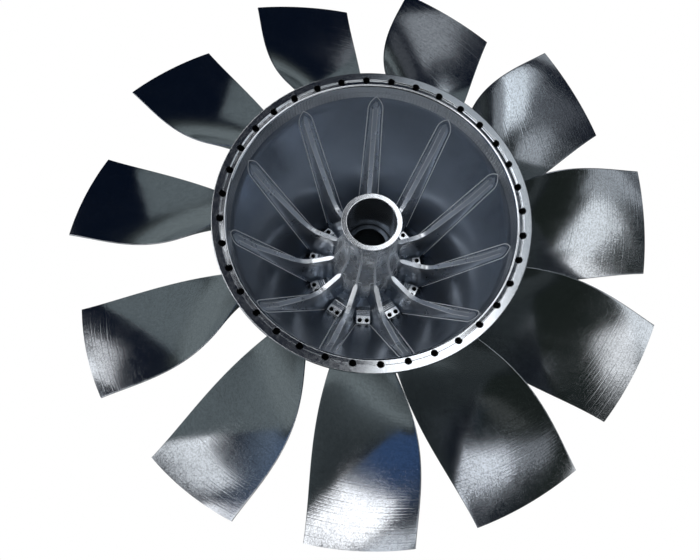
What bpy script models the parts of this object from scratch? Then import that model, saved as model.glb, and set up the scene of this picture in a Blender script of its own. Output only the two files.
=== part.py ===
"""Axial impeller with a hollow conical hub, eleven twisted blades and a bolted rear flange.

The axis is vertical. The hub's small end, its nose, is down and its flat face is at z = 0. The wide
end is up: a flange with a ring of threaded holes round the mouth of a deep conical pocket. A tube for
the shaft stands in the pocket and eleven ribs join it to the pocket's wall.
"""

import math

import bmesh
import bpy
import numpy as np

# Driving dimensions, in metres and degrees. A depth is measured down from the flange's outer face.
BLADES = 11
PITCH = 360 / BLADES
TIP_RADIUS = 0.280
HUB_DEPTH = 0.176
GAP = 0.0003

BOLT_HOLES = 36
BOLT_CIRCLE_RADIUS = 0.131
BOLT_HOLE_RADIUS = 0.0031
BOLT_HOLE_DEPTH = 0.011
BOLT_HOLE_SIDES = 10
DRILL_OVERRUN = 0.002

FLANGE_RADIUS = 0.1383
FLANGE_SIDE = 0.005
FLANGE_THICKNESS = 0.014
FLANGE_EDGE = 0.0007
FACE_STEP_OUTER = 0.1336
FACE_STEP_INNER = 0.1318
FACE_STEP = 0.0012
MOUTH_RADIUS = 0.1262
MOUTH_CHAMFER = 0.002

LAND_RADIUS = 0.1236
LAND_DEPTH = 0.0236
WALL_SLOPE = 0.4826
FLOOR_DEPTH = 0.160
FLOOR_RADIUS = 0.0545
FILLET_RADIUS_TOP = 0.0610
FILLET_STEPS = 3
SHELL_END = 0.150
SHELL_LEVELS = 4
NOSE_EDGE = 0.0015

TUBE_END_DEPTH = 0.0175
TUBE_RADIUS = 0.0273
TUBE_FOOT_RADIUS = 0.0365
CORNER_DEPTH = 0.109
CORNER_RADIUS = 0.0345
FLUTE_DEPTH = 0.0032
BORE_RADIUS = 0.0222
LOWER_BORE_RADIUS = 0.0170
BORE_STEP_DEPTH = 0.078
BORE_CHAMFER = 0.0007

RIB_ANGLE = 85.4
RIB_TOP_HALF_WIDTH = 0.0023
RIB_FOOT_HALF_WIDTH = 0.0085
RIB_NOSE_HALF_WIDTH = 0.0060
RIB_NOSE_RADIUS = 0.1235
RIB_NOSE_LENGTH = 0.016
RIB_LEAST_HALF_WIDTH = 0.0006
RIB_FOOT_SHARE_OF_PITCH = 0.31
RIB_WAIST_HEIGHT_SHARE = 0.35
RIB_WAIST_FLARE_SHARE = 0.25
RIB_LEAST_HEIGHT = 0.0022
RIB_FALL_SLOPE = 0.36
RIB_CLIMB_SLOPE = 1.448
RIB_CLIMB_END = 0.1295
RIB_BEND = 0.0065
RIB_EDGE = 0.0004

PAD_ANGLE = 134.6
PAD_RADIUS = 0.0565
PAD_LENGTH = 0.010
PAD_WIDTH = 0.0145
PAD_DEPTH = 0.148
PAD_HOLE_RADIUS = 0.0019
PAD_HOLE_SPACING = 0.0078
PAD_HOLE_DEPTH = 0.006
PAD_HOLE_SIDES = 8

# Each edge of a blade, by its stations: radius, angle about the axis, depth.
TRAILING_EDGE = (
    (0.124, 109.6, 0.0127),
    (0.157, 114.6, 0.0327),
    (0.183, 115.9, 0.0437),
    (0.210, 115.6, 0.0517),
    (0.236, 114.3, 0.0579),
    (0.280, 111.8, 0.0680),
)
LEADING_EDGE = (
    (0.080, 86.6, 0.1290),
    (0.124, 86.4, 0.1256),
    (0.157, 87.0, 0.1220),
    (0.183, 88.2, 0.1173),
    (0.210, 89.6, 0.1122),
    (0.236, 90.9, 0.1078),
    (0.280, 92.1, 0.1038),
)
ROOT_THICKNESS = 0.0068
TIP_THICKNESS = 0.0024
EDGE_THICKNESS = 0.0011
THINNING_POWER = 0.8
BULGE_POWER = 0.8
ROOT_CAMBER = 0.065
TIP_CAMBER = 0.012

ROUND_STEPS = 72
TUBE_STEPS_PER_FLUTE = 6
TUBE_LEVELS = 5
SPAN_STEPS = 9
CHORD_STEPS = 8
NORMAL_STEP = 0.002
ROOT_PASSES = 40
RIB_STATIONS = 12

ALUMINIUM = {
    "milled": ((0.60, 0.63, 0.67), 0.22),
    "turned": ((0.72, 0.74, 0.77), 0.16),
    "blade": ((0.52, 0.56, 0.62), 0.18),
}


def clear_scene():
    for thing in list(bpy.data.objects):
        bpy.data.objects.remove(thing, do_unlink=True)


def finish(name):
    """One of the three machined finishes, as a material."""
    material = bpy.data.materials.get(name)
    if material is None:
        colour, roughness = ALUMINIUM[name]
        material = bpy.data.materials.new(name)
        material.use_nodes = True
        shader = material.node_tree.nodes["Principled BSDF"]
        shader.inputs["Base Color"].default_value = (*colour, 1)
        shader.inputs["Metallic"].default_value = 1
        shader.inputs["Roughness"].default_value = roughness
    return material


def add_object(name, mesh, finish_name):
    body = bpy.data.objects.new(name, mesh)
    bpy.context.scene.collection.objects.link(body)
    mesh.materials.append(finish(finish_name))
    return body


def mesh_from(name, points, faces, sharp=35):
    """A closed mesh whose faces point outwards, shaded smooth between its sharp edges."""
    mesh = bpy.data.meshes.new(name)
    mesh.from_pydata(points, [], faces)
    work = bmesh.new()
    work.from_mesh(mesh)
    bmesh.ops.recalc_face_normals(work, faces=work.faces)
    work.to_mesh(mesh)
    work.free()
    mesh.shade_smooth()
    mesh.set_sharp_from_angle(angle=math.radians(sharp))
    return mesh


def place(radius, angle, depth):
    """A point from its distance to the axis, its angle in degrees and its depth."""
    turn = math.radians(angle)
    return (radius * math.cos(turn), radius * math.sin(turn), HUB_DEPTH - depth)


def wall_radius(depth):
    """The pocket wall's radius: a nearly straight land, then a straight cone."""
    if depth < LAND_DEPTH:
        return MOUTH_RADIUS + (LAND_RADIUS - MOUTH_RADIUS) * depth / LAND_DEPTH
    return LAND_RADIUS - WALL_SLOPE * (depth - LAND_DEPTH)


def fillet():
    """The (radius, depth) points of the hollow corner between the pocket's floor and its wall."""
    top = LAND_DEPTH + (LAND_RADIUS - FILLET_RADIUS_TOP) / WALL_SLOPE
    points = []
    for i in range(FILLET_STEPS + 1):
        share = i / FILLET_STEPS
        radius = FLOOR_RADIUS + (FILLET_RADIUS_TOP - FLOOR_RADIUS) * share
        points.append((radius, FLOOR_DEPTH + (top - FLOOR_DEPTH) * share**2))
    return points


def wall_depth(radius):
    """The depth of the pocket's inside surface at a radius, floor and corner included."""
    if radius > FILLET_RADIUS_TOP:
        return LAND_DEPTH + (LAND_RADIUS - radius) / WALL_SLOPE
    radii, depths = zip(*fillet())
    return float(np.interp(radius, radii, depths))


def seat_depth(radius):
    """The depth of the foot of a piece that stands in the pocket, just clear of its floor and wall."""
    return wall_depth(radius + GAP) - GAP


def hub_radius(depth):
    """The hub's outside: a straight cone that starts at the flange's edge."""
    return FLANGE_RADIUS - WALL_SLOPE * (depth - FLANGE_SIDE)


def ridge_radius(depth):
    """The shaft tube's radius at its ridges, which run from its end down to the ribs."""
    if depth < CORNER_DEPTH:
        share = (depth - TUBE_END_DEPTH) / (CORNER_DEPTH - TUBE_END_DEPTH)
        return TUBE_RADIUS + (CORNER_RADIUS - TUBE_RADIUS) * share
    share = (depth - CORNER_DEPTH) / (FLOOR_DEPTH - CORNER_DEPTH)
    return CORNER_RADIUS + (TUBE_FOOT_RADIUS - CORNER_RADIUS) * share


def tube_radius(angle, depth):
    """The shaft tube's radius: hollow flutes that meet in a ridge at each rib."""
    fade = min(1.0, (depth - TUBE_END_DEPTH) / (CORNER_DEPTH - TUBE_END_DEPTH))
    wave = abs(math.sin(math.radians((angle - RIB_ANGLE) * BLADES / 2)))
    return ridge_radius(depth) - FLUTE_DEPTH * fade * wave


def rib_top_depth(radius):
    """The line of a rib's top: a gentle fall from the tube, an arc, then a straight climb to the wall."""
    fall = CORNER_DEPTH + RIB_FALL_SLOPE * (radius - CORNER_RADIUS)
    climb = LAND_DEPTH + RIB_CLIMB_SLOPE * (RIB_CLIMB_END - radius)
    line = (fall + climb) / 2 - math.hypot((fall - climb) / 2, RIB_BEND)
    return min(line, wall_depth(radius) - RIB_LEAST_HEIGHT)


def turned(name, profile, finish_name, steps=ROUND_STEPS):
    """A ring from a closed outline of (radius, depth) points."""
    points = []
    for step in range(steps):
        points += [place(radius, 360 * step / steps, depth) for radius, depth in profile]
    count = len(profile)
    faces = []
    for step in range(steps):
        here, there = step * count, (step + 1) % steps * count
        for i in range(count):
            j = (i + 1) % count
            faces.append((here + i, here + j, there + j, there + i))
    return add_object(name, mesh_from(name, points, faces), finish_name)


def round_cutter(name, places, radius, bottom, top, sides):
    """Upright round pegs, in one hidden object that cuts holes."""
    work = bmesh.new()
    for x, y in places:
        peg = bmesh.ops.create_cone(
            work, cap_ends=True, segments=sides, radius1=radius, radius2=radius, depth=top - bottom
        )
        bmesh.ops.translate(work, verts=peg["verts"], vec=(x, y, (top + bottom) / 2))
    mesh = bpy.data.meshes.new(name)
    work.to_mesh(mesh)
    work.free()
    cutter = bpy.data.objects.new(name, mesh)
    bpy.context.scene.collection.objects.link(cutter)
    cutter.hide_render = True
    cutter.display_type = "WIRE"
    return cutter


def cut(body, cutter):
    boolean = body.modifiers.new("holes", "BOOLEAN")
    boolean.operation = "DIFFERENCE"
    boolean.object = cutter


def flange_ring():
    profile = [
        (FLANGE_RADIUS, FLANGE_EDGE),
        (FLANGE_RADIUS - FLANGE_EDGE, 0),
        (FACE_STEP_OUTER, 0),
        (FACE_STEP_INNER, FACE_STEP),
        (MOUTH_RADIUS + MOUTH_CHAMFER, FACE_STEP),
        (wall_radius(FACE_STEP + MOUTH_CHAMFER), FACE_STEP + MOUTH_CHAMFER),
        (wall_radius(FLANGE_THICKNESS), FLANGE_THICKNESS),
        (hub_radius(FLANGE_THICKNESS), FLANGE_THICKNESS),
        (FLANGE_RADIUS, FLANGE_SIDE),
    ]
    ring = turned("flange_ring", profile, "turned")
    places = [place(BOLT_CIRCLE_RADIUS, 360 * i / BOLT_HOLES, 0)[:2] for i in range(BOLT_HOLES)]
    floor = HUB_DEPTH - BOLT_HOLE_DEPTH
    top = HUB_DEPTH + DRILL_OVERRUN
    cut(ring, round_cutter("bolt_drill", places, BOLT_HOLE_RADIUS, floor, top, BOLT_HOLE_SIDES))


def hub_shell():
    start = FLANGE_THICKNESS + GAP
    depths = [start, *np.linspace(LAND_DEPTH, SHELL_END, SHELL_LEVELS + 1)]
    inner = [(wall_radius(depth), depth) for depth in depths]
    outer = [(hub_radius(depth), depth) for depth in reversed(depths)]
    turned("hub_shell", inner + outer, "milled")


def hub_base():
    start = SHELL_END + GAP
    profile = [(hub_radius(start), start), (wall_radius(start), start)] + fillet()[::-1]
    profile += [
        (LOWER_BORE_RADIUS, FLOOR_DEPTH),
        (LOWER_BORE_RADIUS, HUB_DEPTH - NOSE_EDGE),
        (LOWER_BORE_RADIUS + NOSE_EDGE, HUB_DEPTH),
        (hub_radius(HUB_DEPTH) - NOSE_EDGE, HUB_DEPTH),
        (hub_radius(HUB_DEPTH - NOSE_EDGE), HUB_DEPTH - NOSE_EDGE),
    ]
    turned("hub_base", profile, "milled")


def shaft_tube():
    """The fluted tube, with a bore that steps down to a smaller one."""
    steps = BLADES * TUBE_STEPS_PER_FLUTE
    foot = FLOOR_DEPTH - GAP
    outer = [
        TUBE_END_DEPTH + (foot - TUBE_END_DEPTH) * level / TUBE_LEVELS for level in range(TUBE_LEVELS + 1)
    ]
    bore = [
        (LOWER_BORE_RADIUS, foot),
        (LOWER_BORE_RADIUS, BORE_STEP_DEPTH),
        (BORE_RADIUS, BORE_STEP_DEPTH),
        (BORE_RADIUS, TUBE_END_DEPTH + BORE_CHAMFER),
        (BORE_RADIUS + BORE_CHAMFER, TUBE_END_DEPTH),
    ]
    points = []
    for step in range(steps):
        angle = RIB_ANGLE + 360 * step / steps
        points += [place(tube_radius(angle, depth), angle, depth) for depth in outer]
        points += [place(radius, angle, depth) for radius, depth in bore]
    count = len(outer) + len(bore)
    faces = []
    for step in range(steps):
        here, there = step * count, (step + 1) % steps * count
        for i in range(count):
            j = (i + 1) % count
            faces.append((here + i, here + j, there + j, there + i))
    add_object("shaft_tube", mesh_from("shaft_tube", points, faces), "turned")


def rib_half_widths(radius):
    """Half the width of a rib's top and foot: it narrows to a point at its outer end."""
    nose = min(1.0, max(0.0, (RIB_NOSE_RADIUS - radius) / RIB_NOSE_LENGTH)) ** 0.5
    share = (radius - CORNER_RADIUS) / (RIB_NOSE_RADIUS - CORNER_RADIUS)
    foot = RIB_FOOT_HALF_WIDTH + (RIB_NOSE_HALF_WIDTH - RIB_FOOT_HALF_WIDTH) * share
    room = math.radians(PITCH) * radius * RIB_FOOT_SHARE_OF_PITCH
    crown = max(RIB_LEAST_HALF_WIDTH, RIB_TOP_HALF_WIDTH * nose)
    return crown, max(2 * RIB_LEAST_HALF_WIDTH, min(foot, room) * nose)


def rib_section(radius, top):
    """One slice of a rib: across its foot, which follows the wall, then up over its top."""
    crown, foot = rib_half_widths(radius)
    bottom = seat_depth(radius)
    height = bottom - top
    waist = crown + (foot - crown) * RIB_WAIST_FLARE_SHARE
    half = [
        (foot, bottom),
        (foot, bottom - min(RIB_EDGE, height / 3)),
        (waist, bottom - height * RIB_WAIST_HEIGHT_SHARE),
        (crown, top),
    ]
    other = [(-offset, depth) for offset, depth in reversed(half)]
    return [(0, bottom)] + half + [(0, top)] + other


def rib_end(start, count):
    """The faces of a rib's end: two fans that meet on its middle line, which follows the tube's ridge."""
    top = count // 2
    faces = []
    for side in (1, -1):
        ring = [start + side * i % count for i in range(top + 1)]
        faces += [(start, ring[1], ring[2]), (start, ring[2], ring[3]), (start, ring[3], ring[5])]
        faces.append((ring[3], ring[4], ring[5]))
    return faces


def rib(number):
    angle = RIB_ANGLE - PITCH * (number - 1)
    start = CORNER_RADIUS + GAP
    stations = [start + (RIB_NOSE_RADIUS - start) * i / (RIB_STATIONS - 1) for i in range(RIB_STATIONS)]
    points = []
    for i, radius in enumerate(stations):
        for offset, depth in rib_section(max(radius, TUBE_FOOT_RADIUS), rib_top_depth(radius)):
            turn = math.degrees(offset / max(radius, TUBE_FOOT_RADIUS))
            reach = tube_radius(RIB_ANGLE + turn, depth) + GAP if i == 0 else radius
            points.append(place(reach, angle + turn, depth))
    count = len(points) // RIB_STATIONS
    faces = rib_end(0, count) + rib_end(len(points) - count, count)
    for i in range(RIB_STATIONS - 1):
        here, there = i * count, (i + 1) * count
        for j in range(count):
            k = (j + 1) % count
            faces.append((here + j, here + k, there + k, there + j))
    name = f"rib_{number:02d}"
    add_object(name, mesh_from(name, points, faces), "milled")


def balance_pad(number):
    """A raised pad between two ribs, with two small holes for balance weights."""
    angle = PAD_ANGLE - PITCH * (number - 1)
    low, high = PAD_RADIUS - PAD_LENGTH / 2, PAD_RADIUS + PAD_LENGTH / 2
    foot = [low] + [radius for radius, _ in fillet() if low < radius < high] + [high]
    outline = [(low, PAD_DEPTH)] + [(radius, seat_depth(radius)) for radius in foot] + [(high, PAD_DEPTH)]
    half = math.degrees(PAD_WIDTH / 2 / PAD_RADIUS)
    points = []
    for turn in (-half, half):
        points += [place(radius, angle + turn, depth) for radius, depth in outline]
    count = len(outline)
    faces = [tuple(range(count)), tuple(range(count, 2 * count))]
    faces += [(i, (i + 1) % count, count + (i + 1) % count, count + i) for i in range(count)]
    name = f"balance_pad_{number:02d}"
    pad = add_object(name, mesh_from(name, points, faces), "milled")
    spread = math.degrees(PAD_HOLE_SPACING / 2 / PAD_RADIUS)
    places = [place(PAD_RADIUS, angle + side * spread, 0)[:2] for side in (-1, 1)]
    top = HUB_DEPTH - PAD_DEPTH
    bottom = top - PAD_HOLE_DEPTH
    drill_name = f"pad_drill_{number:02d}"
    cut(pad, round_cutter(drill_name, places, PAD_HOLE_RADIUS, bottom, top + DRILL_OVERRUN, PAD_HOLE_SIDES))


def edge_curves(stations):
    """Smooth functions of radius for an edge's angle and depth, through its stations."""
    radius, angle, depth = np.array(stations).T
    return np.poly1d(np.polyfit(radius, angle, 3)), np.poly1d(np.polyfit(radius, depth, 3))


def root_corner(edge_depth, first):
    """The radius where an edge meets the hub's cone, closed in on from a first radius."""
    radius = first
    for _ in range(ROOT_PASSES):
        radius = (radius + hub_radius(float(edge_depth(radius))) + GAP) / 2
    return radius


def blade_surface():
    """A function of (span, chord), each 0 to 1, for a point of the first blade's middle surface."""
    trailing_angle, trailing_depth = edge_curves(TRAILING_EDGE)
    leading_angle, leading_depth = edge_curves(LEADING_EDGE)
    trailing_root = root_corner(trailing_depth, TRAILING_EDGE[0][0])
    leading_root = root_corner(leading_depth, LEADING_EDGE[0][0])

    def point(span, chord):
        one = trailing_root + (TIP_RADIUS - trailing_root) * span
        two = leading_root + (TIP_RADIUS - leading_root) * span
        angle = trailing_angle(one) * (1 - chord) + leading_angle(two) * chord
        depth = trailing_depth(one) * (1 - chord) + leading_depth(two) * chord
        root = trailing_root + (leading_root - trailing_root) * chord
        radius = root + (TIP_RADIUS - root) * span
        across = math.radians(trailing_angle(one) - leading_angle(two)) * radius
        down = leading_depth(two) - trailing_depth(one)
        camber = ROOT_CAMBER + (TIP_CAMBER - ROOT_CAMBER) * span
        bow = camber * 4 * chord * (1 - chord)
        angle += math.degrees(bow * down / radius)
        depth += bow * across
        return np.array(place(radius, angle, depth))

    return point


def half_thickness(span, chord):
    most = ROOT_THICKNESS + (TIP_THICKNESS - ROOT_THICKNESS) * span**THINNING_POWER
    bulge = (4 * chord * (1 - chord)) ** BULGE_POWER
    return (EDGE_THICKNESS + (most - EDGE_THICKNESS) * bulge) / 2


def set_radius(point, radius):
    """Moves a point straight out from the axis, or in, to a radius."""
    scale = radius / math.hypot(point[0], point[1])
    return np.array((point[0] * scale, point[1] * scale, point[2]))


def blade_points():
    """The first blade's skin, as rings of points from root to tip."""
    surface = blade_surface()
    rings = []
    for i in range(SPAN_STEPS + 1):
        span = i / SPAN_STEPS
        sides = ([], [])
        for j in range(CHORD_STEPS + 1):
            chord = 0.5 - 0.5 * math.cos(math.pi * j / CHORD_STEPS)
            along = surface(span + NORMAL_STEP, chord) - surface(span - NORMAL_STEP, chord)
            across = surface(span, chord + NORMAL_STEP) - surface(span, chord - NORMAL_STEP)
            normal = np.cross(along, across)
            normal /= np.linalg.norm(normal)
            for side, sign in zip(sides, (1, -1)):
                point = surface(span, chord) + normal * sign * half_thickness(span, chord)
                if i == 0:
                    point = set_radius(point, hub_radius(HUB_DEPTH - point[2]) + GAP)
                if i == SPAN_STEPS:
                    point = set_radius(point, TIP_RADIUS)
                side.append(point)
        rings.append(sides[0] + sides[1][::-1])
    return rings


def blade(number, rings):
    turn = math.radians(-PITCH * (number - 1))
    spin = np.array(((math.cos(turn), -math.sin(turn), 0), (math.sin(turn), math.cos(turn), 0), (0, 0, 1)))
    points = [tuple(spin @ point) for ring in rings for point in ring]
    count = len(rings[0])
    faces = []
    for i in range(len(rings) - 1):
        here, there = i * count, (i + 1) * count
        for j in range(count):
            k = (j + 1) % count
            faces.append((here + j, here + k, there + k, there + j))
    for start in (0, (len(rings) - 1) * count):
        for j in range(CHORD_STEPS):
            far = count - 1 - j
            faces.append((start + j, start + j + 1, start + far - 1, start + far))
    name = f"blade_{number:02d}"
    add_object(name, mesh_from(name, points, faces, sharp=60), "blade")


def main():
    clear_scene()
    flange_ring()
    hub_shell()
    hub_base()
    shaft_tube()
    rings = blade_points()
    for number in range(1, BLADES + 1):
        rib(number)
        balance_pad(number)
        blade(number, rings)


main()
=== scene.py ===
# %% [markdown]
# An axial impeller, milled from one block of bright aluminium. It stands on its nose, and the camera
# looks down into the open rear of its hub, past a flange with 36 holes. Eleven twisted blades stand
# round the hub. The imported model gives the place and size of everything, so it is loaded first.

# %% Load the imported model
import math

import bmesh
import bpy
import numpy as np
from mathutils import Euler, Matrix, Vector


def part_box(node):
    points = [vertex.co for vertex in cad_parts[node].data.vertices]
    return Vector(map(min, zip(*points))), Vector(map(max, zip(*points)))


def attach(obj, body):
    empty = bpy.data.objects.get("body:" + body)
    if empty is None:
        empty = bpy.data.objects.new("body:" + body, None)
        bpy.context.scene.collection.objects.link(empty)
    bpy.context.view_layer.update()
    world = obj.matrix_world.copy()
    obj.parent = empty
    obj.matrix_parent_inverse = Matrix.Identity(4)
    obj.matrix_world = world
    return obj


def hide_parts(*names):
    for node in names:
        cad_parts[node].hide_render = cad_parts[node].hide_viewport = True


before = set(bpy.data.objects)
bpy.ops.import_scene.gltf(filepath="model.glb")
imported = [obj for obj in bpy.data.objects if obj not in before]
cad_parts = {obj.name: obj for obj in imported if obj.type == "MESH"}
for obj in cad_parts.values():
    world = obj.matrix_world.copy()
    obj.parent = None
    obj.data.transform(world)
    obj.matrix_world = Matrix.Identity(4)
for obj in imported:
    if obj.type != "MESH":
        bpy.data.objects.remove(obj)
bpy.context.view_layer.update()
BLADES = sum(name.startswith("blade_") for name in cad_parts)
PITCH = 360 / BLADES
FACE_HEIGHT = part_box("flange_ring")[1].z
print(len(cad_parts), "nodes,", BLADES, "blades, flange face at", round(FACE_HEIGHT, 4), "m")

# %% [markdown]
# The camera comes next, because every later choice is made for the view through it. Its
# place and lens follow from the ring of holes, which are evenly spaced on a circle in the real object.

# %% Camera
CAMERA_PLACE = (-0.0458, -0.2384, 0.7749)
CAMERA_TURN = (16.357, -3.089, -2.623)
CAMERA_LENS = 38.284
CAMERA_SHIFT = (-0.0290, 0.0078)


def put_in_scene(name, data):
    """An object in the scene from its data block."""
    thing = bpy.data.objects.new(name, data)
    bpy.context.scene.collection.objects.link(thing)
    return thing


def add_camera():
    data = bpy.data.cameras.new("photo_camera")
    data.lens = CAMERA_LENS
    data.sensor_width = 36
    data.shift_x, data.shift_y = CAMERA_SHIFT
    data.clip_start, data.clip_end = 0.01, 100
    camera = put_in_scene("photo_camera", data)
    camera.location = CAMERA_PLACE
    camera.rotation_euler = [math.radians(turn) for turn in CAMERA_TURN]
    bpy.context.scene.camera = camera


add_camera()
print("camera", CAMERA_PLACE, "lens", CAMERA_LENS, "mm")

# %% [markdown]
# Every surface is bare aluminium, and what tells them apart is how they were cut. Their finishes share
# a few effects, and the repeated pieces share two node trees. All are built with these small helpers.


# %% Helpers for nodes
def feed(tree, socket, value):
    """Gives a socket a plain value, or links it to another node's output."""
    if isinstance(value, bpy.types.NodeSocket):
        tree.links.new(value, socket)
    elif value is not None:
        socket.default_value = value


def add_node(tree, kind, **values):
    """Adds a node and feeds its inputs, named in plain lower case, with sockets or values."""
    node = tree.nodes.new(kind)
    for label, value in values.items():
        feed(tree, node.inputs[label.replace("_", " ").title()], value)
    return node


def calc(tree, operation, *values, vectors=False):
    """A maths node on numbers or on vectors, returned by its output."""
    node = tree.nodes.new("ShaderNodeVectorMath" if vectors else "ShaderNodeMath")
    node.operation = operation
    for socket, value in zip(node.inputs, values):
        feed(tree, socket, value)
    return node.outputs["Value" if operation == "DOT_PRODUCT" else 0]


def scale_vector(tree, vector, factor):
    return calc(tree, "SCALE", vector, None, None, factor, vectors=True)


def from_axis(tree, x, y):
    """The distance from the upright axis."""
    return calc(tree, "SQRT", calc(tree, "MULTIPLY_ADD", x, x, calc(tree, "MULTIPLY", y, y)))


def vector_of(tree, x, y, z):
    return add_node(tree, "ShaderNodeCombineXYZ", x=x, y=y, z=z).outputs[0]


def parts_of(tree, vector):
    return add_node(tree, "ShaderNodeSeparateXYZ", vector=vector).outputs


def new_group(name, kind, inputs, outputs):
    """An empty node group with named inputs (label, kind, value if any) and outputs (label, kind)."""
    group = bpy.data.node_groups.new(name, kind)
    for label, what, *value in inputs:
        socket = group.interface.new_socket(label, in_out="INPUT", socket_type="NodeSocket" + what)
        if value:
            socket.default_value = value[0]
    for label, what in outputs:
        group.interface.new_socket(label, in_out="OUTPUT", socket_type="NodeSocket" + what)
    return group, group.nodes.new("NodeGroupInput").outputs, group.nodes.new("NodeGroupOutput").inputs


# %% Helpers for shaders
def object_place(tree):
    return tree.nodes.new("ShaderNodeTexCoord").outputs["Object"]


def noise(tree, vector, scale, detail=2.0, roughness=0.5):
    """A noise texture read at a vector, returned by its value output."""
    values = {"vector": vector, "scale": scale, "detail": detail, "roughness": roughness}
    return add_node(tree, "ShaderNodeTexNoise", **values).outputs[0]


def remap(tree, value, low, high, to_low=0.0, to_high=1.0, smooth=False):
    """Maps the range from low to high onto another range, and holds the ends."""
    values = {"value": value, "from_min": low, "from_max": high, "to_min": to_low, "to_max": to_high}
    node = add_node(tree, "ShaderNodeMapRange", **values)
    node.interpolation_type = "SMOOTHSTEP" if smooth else "LINEAR"
    return node.outputs[0]


def mix_colours(tree, mask, first, second):
    """A blend of two colours, given as sockets or as (red, green, blue, 1)."""
    node = tree.nodes.new("ShaderNodeMix")
    node.data_type = "RGBA"
    for place, value in ((0, mask), (6, first), (7, second)):
        feed(tree, node.inputs[place], value)
    return node.outputs[2]


# %% [markdown]
# The first effect is the rows that a cutter leaves: fine ridges across one coordinate, which wander
# and break into facets along the other. The second is the haze that handling and coolant leave. The
# third is polar coordinates, because the marks on the hub run round its axis.

# %% Effect: cutter rows
ROW_WANDER = 1.6
WANDER_LENGTH = 0.12
RIDGE_SHARE = 0.03


def cutter_rows_effect():
    """Rows of small flat facets, each tilted its own way, with a slight ridge between the rows."""
    sizes = [("Spacing", "Float", 0.001), ("Facet", "Float", 0.005)]
    inputs = [("Across", "Float"), ("Along", "Float"), *sizes]
    outputs = [("Height", "Float"), ("Drift", "Float"), ("Grain", "Float")]
    group, given, made = new_group("cutter_rows", "ShaderNodeTree", inputs, outputs)
    along = calc(group, "DIVIDE", given["Along"], given["Facet"])
    across = calc(group, "DIVIDE", given["Across"], given["Spacing"])
    slow = calc(group, "MULTIPLY", across, WANDER_LENGTH)
    drift = noise(group, vector_of(group, slow, along, 0.0), 0.4)
    shifted = calc(group, "MULTIPLY_ADD", drift, ROW_WANDER, across)
    place = vector_of(group, shifted, along, 0.0)
    cells = add_node(group, "ShaderNodeTexVoronoi", vector=place, scale=1.0, randomness=0.6)
    cells.voronoi_dimensions = "2D"
    from_middle = calc(group, "SUBTRACT", place, cells.outputs["Position"], vectors=True)
    tilt = calc(group, "SUBTRACT", cells.outputs["Color"], (0.5, 0.5, 0.5), vectors=True)
    lean = calc(group, "DOT_PRODUCT", from_middle, tilt, vectors=True)
    row = calc(group, "SINE", calc(group, "MULTIPLY", shifted, 2 * math.pi))
    _, grain, chance = add_node(group, "ShaderNodeSeparateColor", color=cells.outputs["Color"]).outputs
    strong = calc(group, "MULTIPLY_ADD", calc(group, "POWER", chance, 2.0), 1.4, 0.3)
    height = calc(group, "MULTIPLY_ADD", row, RIDGE_SHARE, calc(group, "MULTIPLY", lean, strong))
    for label, value in (("Height", height), ("Drift", drift), ("Grain", grain)):
        group.links.new(value, made[label])
    return group


CUTTER_ROWS = cutter_rows_effect()
print("effect:", CUTTER_ROWS.name)


# %% Effects: handling haze and polar coordinates
def handling_haze_effect():
    """Soft clouds of a given size, and smaller specks."""
    inputs = [("Vector", "Vector"), ("Size", "Float", 0.02)]
    outputs = [("Haze", "Float"), ("Specks", "Float")]
    group, given, made = new_group("handling_haze", "ShaderNodeTree", inputs, outputs)
    scaled = scale_vector(group, given["Vector"], calc(group, "DIVIDE", 1.0, given["Size"]))
    group.links.new(noise(group, scaled, 1.0, detail=4.0, roughness=0.6), made["Haze"])
    group.links.new(noise(group, scaled, 4.0, detail=1.0, roughness=0.5), made["Specks"])
    return group


def polar_effect():
    """The distance from the axis, the way round it at a given radius, and the depth under the flange."""
    inputs = [("Vector", "Vector"), ("Arc Radius", "Float", 0.1), ("Face Height", "Float", FACE_HEIGHT)]
    outputs = [("Radius", "Float"), ("Arc", "Float"), ("Depth", "Float")]
    group, given, made = new_group("polar", "ShaderNodeTree", inputs, outputs)
    x, y, z = parts_of(group, given["Vector"])
    group.links.new(from_axis(group, x, y), made["Radius"])
    turn = calc(group, "ABSOLUTE", calc(group, "ARCTAN2", x, y))
    group.links.new(calc(group, "MULTIPLY", turn, given["Arc Radius"]), made["Arc"])
    group.links.new(calc(group, "SUBTRACT", given["Face Height"], z), made["Depth"])
    return group


HANDLING_HAZE = handling_haze_effect()
POLAR = polar_effect()
print("effects:", HANDLING_HAZE.name, POLAR.name)

# %% [markdown]
# A finish is the bare metal with its own values: how sharp its shine is, how far the haze changes it,
# and which way its cutter rows run. The helpers place the effects and join them to the shader.

# %% Bare metal
ALUMINIUM = (0.86, 0.88, 0.905, 1)
SPECK_SHARE = 0.6
HAZE_SHARE = 0.4
HAZE_RANGE = (0.38, 0.62)


def bare_metal(name, roughness, colour=ALUMINIUM, metallic=1.0):
    """A metal material, its node tree and its shader."""
    material = bpy.data.materials.new(name)
    material.use_nodes = True
    tree = material.node_tree
    shader = tree.nodes["Principled BSDF"]
    for label, value in (("Base Color", colour), ("Metallic", metallic), ("Roughness", roughness)):
        shader.inputs[label].default_value = value
    return material, tree, shader


def place_effect(tree, effect, **values):
    """Places an effect's group in a material, with sockets or numbers for its inputs."""
    node = tree.nodes.new("ShaderNodeGroup")
    node.node_tree = effect
    for label, value in values.items():
        feed(tree, node.inputs[label.replace("_", " ").title()], value)
    return node.outputs


def add_bump(tree, shader, height, distance):
    """Raises the surface by a height socket, on top of any bump that the shader already has."""
    bump = add_node(tree, "ShaderNodeBump", distance=distance, height=height)
    if shader.inputs["Normal"].is_linked:
        tree.links.new(shader.inputs["Normal"].links[0].from_socket, bump.inputs["Normal"])
    tree.links.new(bump.outputs[0], shader.inputs["Normal"])


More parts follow.
